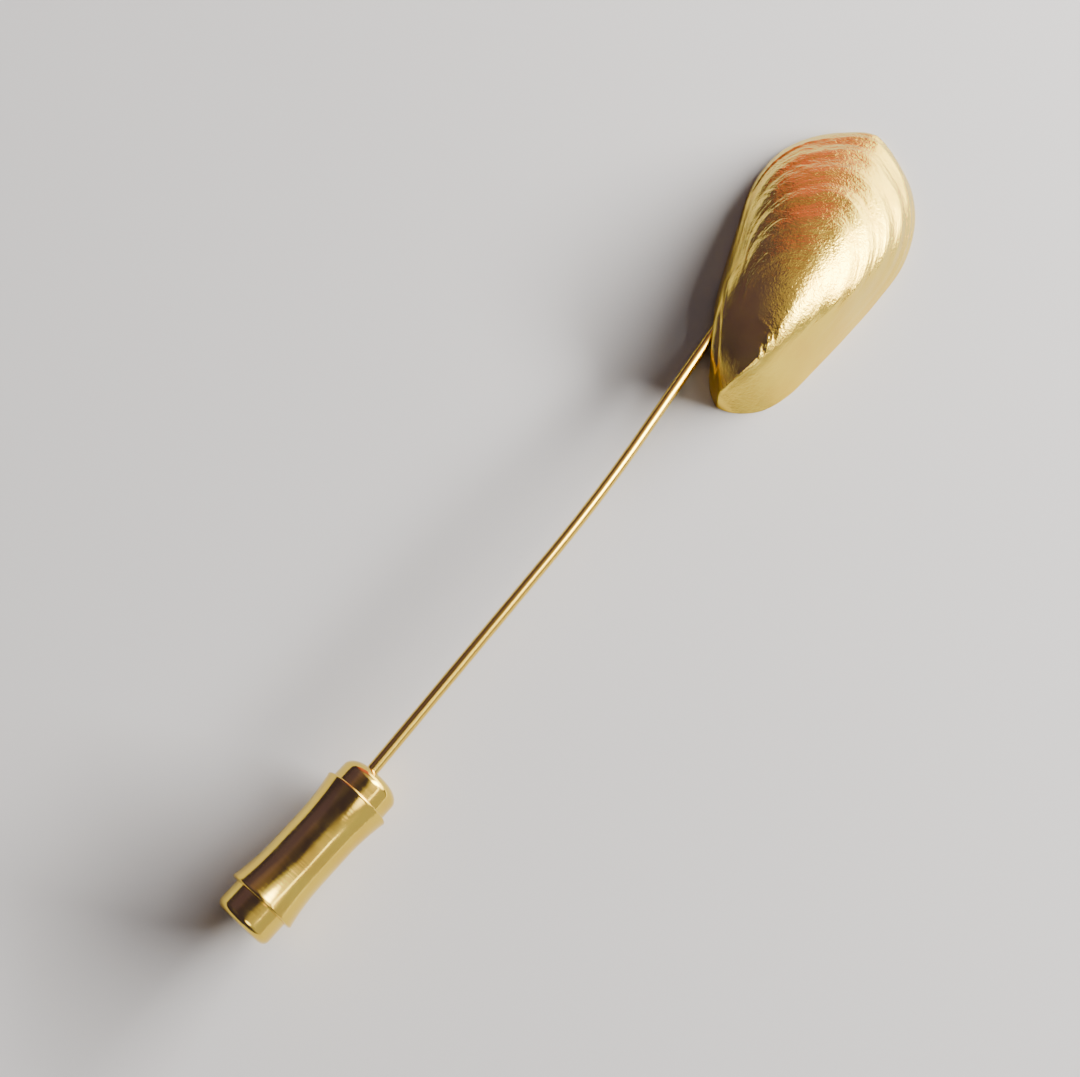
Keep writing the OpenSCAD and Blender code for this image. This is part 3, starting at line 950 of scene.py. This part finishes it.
def shell_material():
    n = Material("shell_gold")
    # painted shade and a painted warm reflection: the gold is a little warmer and darker in the hollows
    # between growth lines, and paler on the raised bands as a painted highlight, while noise also varies
    # the tone at random
    painted_shade_and_tone = n.maths("ADD", n.span(n.attribute("raised"), -0.25, 0.25, -0.06, 0.06), n.noise(0.35, 3.0))
    color = n.ramp(painted_shade_and_tone, [(0.25, GOLD_WARM), (0.55, GOLD), (0.85, GOLD_PALE)])
    rough = n.span(n.noise(0.8, 4.0), 0.19, 0.27)
    # leathery grain, and hair lines that follow the growth lines
    across_lines = n.maths("MULTIPLY", n.attribute("growth"), 130.0)
    hair_place = n.node("ShaderNodeCombineXYZ", {"X": across_lines, "Y": n.noise(0.10, 1.0)}).outputs[0]
    hair = n.noise(1.0, 3.0, hair_place)
    height = n.maths("ADD", n.noise(4.5, 1.5, distortion=0.5), n.maths("MULTIPLY", hair, 0.4))
    height = n.maths("ADD", height, n.maths("MULTIPLY", n.noise(9.0, 1.0), 0.3))
    height = n.maths("MULTIPLY", height, n.span(n.attribute("grain"), 0.30, 1.0, 0.0, 1.0))
    n.surface(Metallic=1.0, Base_Color=color, Roughness=rough, Normal=n.bump(height, 1.0, 0.000034))
    return n.material


def wire_material():
    n = Material("wire_gold")
    draw = n.noise(9.0, 3.0, n.place((0.02, 1, 1)))
    n.surface(Metallic=1.0, Base_Color=(*GOLD_WARM, 1), Roughness=n.span(draw, 0.10, 0.20))
    n.surface(Normal=n.bump(draw, 0.25, 0.000004))
    return n.material


def clutch_material():
    n = Material("clutch_gold")
    color = n.ramp(n.noise(0.6, 3.0), [(0.3, GOLD_WARM), (0.6, GOLD), (0.9, GOLD_PALE)])
    around = n.noise(7.0, 3.0, n.place((1.3, 0.05, 0.05)))
    smudge = n.noise(0.9, 4.0, distortion=0.6)
    rough = n.maths("ADD", n.span(smudge, 0.07, 0.18), n.span(around, -0.01, 0.03))
    height = n.maths("ADD", n.maths("MULTIPLY", around, 0.22), n.noise(0.55, 1.0))
    n.surface(Metallic=1.0, Base_Color=color, Roughness=rough, Normal=n.bump(height, 0.35, 0.00006))
    return n.material


def floor_material():
    n = Material("pale_floor")
    n.surface(Base_Color=FLOOR_COLOR, Roughness=0.9, Specular_IOR_Level=0.1)
    return n.material


def backdrop_material():
    n = Material("pale_backdrop")
    n.surface(Base_Color=(0, 0, 0, 1), Specular_IOR_Level=0.0)
    n.surface(Emission_Color=BACKDROP_GLOW, Emission_Strength=1.0)
    return n.material


# Stage, lights and camera

def turned_to(place, target):
    return (Vector(target) - Vector(place)).to_track_quat("-Z", "Y").to_euler()


def area_light(name, place, target, size, power, color, on_floor, in_gold):
    light = bpy.data.lights.new(name, "AREA")
    light.shape = "RECTANGLE"
    light.size, light.size_y = size
    light.energy = power
    light.color = color
    lamp = bpy.data.objects.new(name, light)
    lamp.location = place
    lamp.rotation_euler = turned_to(place, target)
    lamp.visible_diffuse = on_floor
    lamp.visible_glossy = in_gold
    bpy.context.scene.collection.objects.link(lamp)


def build_stage():
    corners = [(x * FLOOR_HALF, y * FLOOR_HALF, 0) for x, y in ((-1, -1), (1, -1), (1, 1), (-1, 1))]
    mesh = bpy.data.meshes.new("floor")
    mesh.from_pydata(corners, [], [(0, 1, 2, 3)])
    mesh.materials.append(floor_material())
    floor = bpy.data.objects.new("floor", mesh)
    bpy.context.scene.collection.objects.link(floor)
    build_backdrop()
    for row in LAMPS:
        area_light(*row)
    build_room()


def build_backdrop():
    """A pale dome that closes the view past the floor. It neither lights the pin nor shows in its gold."""
    quarter = np.linspace(0, math.pi / 2, BACKDROP_STEPS)
    arc = [(BACKDROP_R * math.cos(a), BACKDROP_R * math.sin(a)) for a in quarter]
    points, faces = turn(arc, BACKDROP_SIDES)
    mesh = bpy.data.meshes.new("backdrop")
    mesh.from_pydata([tuple(p) for p in points], [], faces)
    mesh.shade_smooth()
    mesh.materials.append(backdrop_material())
    dome = bpy.data.objects.new("backdrop", mesh)
    dome.visible_diffuse = False
    dome.visible_glossy = False
    dome.visible_transmission = False
    dome.visible_shadow = False
    bpy.context.scene.collection.objects.link(dome)


def way_of(azimuth, elevation):
    """Unit vector toward an azimuth from +X and an elevation above the floor, in degrees."""
    turn_z, rise = math.radians(azimuth), math.radians(elevation)
    return (math.cos(rise) * math.cos(turn_z), math.cos(rise) * math.sin(turn_z), math.sin(rise))


def build_room():
    """A dim room with soft patches of glow, such as walls and a window give."""
    world = bpy.data.worlds.new("room")
    world.use_nodes = True
    n = Nodes(world.node_tree)
    way = n.node("ShaderNodeTexCoord", {}).outputs["Generated"]
    glow = ROOM_DARK
    for azimuth, elevation, full, gone, color in ROOM_GLOW:
        toward = n.vector_maths("DOT_PRODUCT", {0: way, 1: way_of(azimuth, elevation)}).outputs["Value"]
        edges = math.cos(math.radians(gone)), math.cos(math.radians(full))
        share = n.span(toward, 0, 1, *edges, interpolation_type="SMOOTHSTEP")
        patch = n.vector_maths("SCALE", {0: color, "Scale": share}).outputs["Vector"]
        glow = n.vector_maths("ADD", {0: glow, 1: patch}).outputs["Vector"]
    n.feed(n.tree.nodes["Background"], {"Color": glow})
    bpy.context.scene.world = world
    world.cycles_visibility.diffuse = False


def build_camera(middle):
    camera = bpy.data.cameras.new("camera")
    camera.sensor_width = CAMERA_SENSOR
    camera.lens = CAMERA_SENSOR * CAMERA_FOCAL_PX / IMAGE_WIDTH
    camera.clip_start, camera.clip_end = CAMERA_CLIP
    eye = bpy.data.objects.new("camera", camera)
    turned = Matrix([CAMERA_RIGHT, CAMERA_UP, CAMERA_BACK]).transposed().to_4x4()
    turned.translation = Vector(lay([CAMERA_AT], middle)[0])
    eye.matrix_world = turned
    bpy.context.scene.collection.objects.link(eye)
    bpy.context.scene.camera = eye


middle = footprint_middle()
build_camera(middle)
build_stage()
build_shell(shell_material(), middle)
build_stem(wire_material(), middle)
clutch_gold = clutch_material()
build_core(clutch_gold, middle)
build_sleeve(clutch_gold, middle)

bpy.context.view_layer.update()
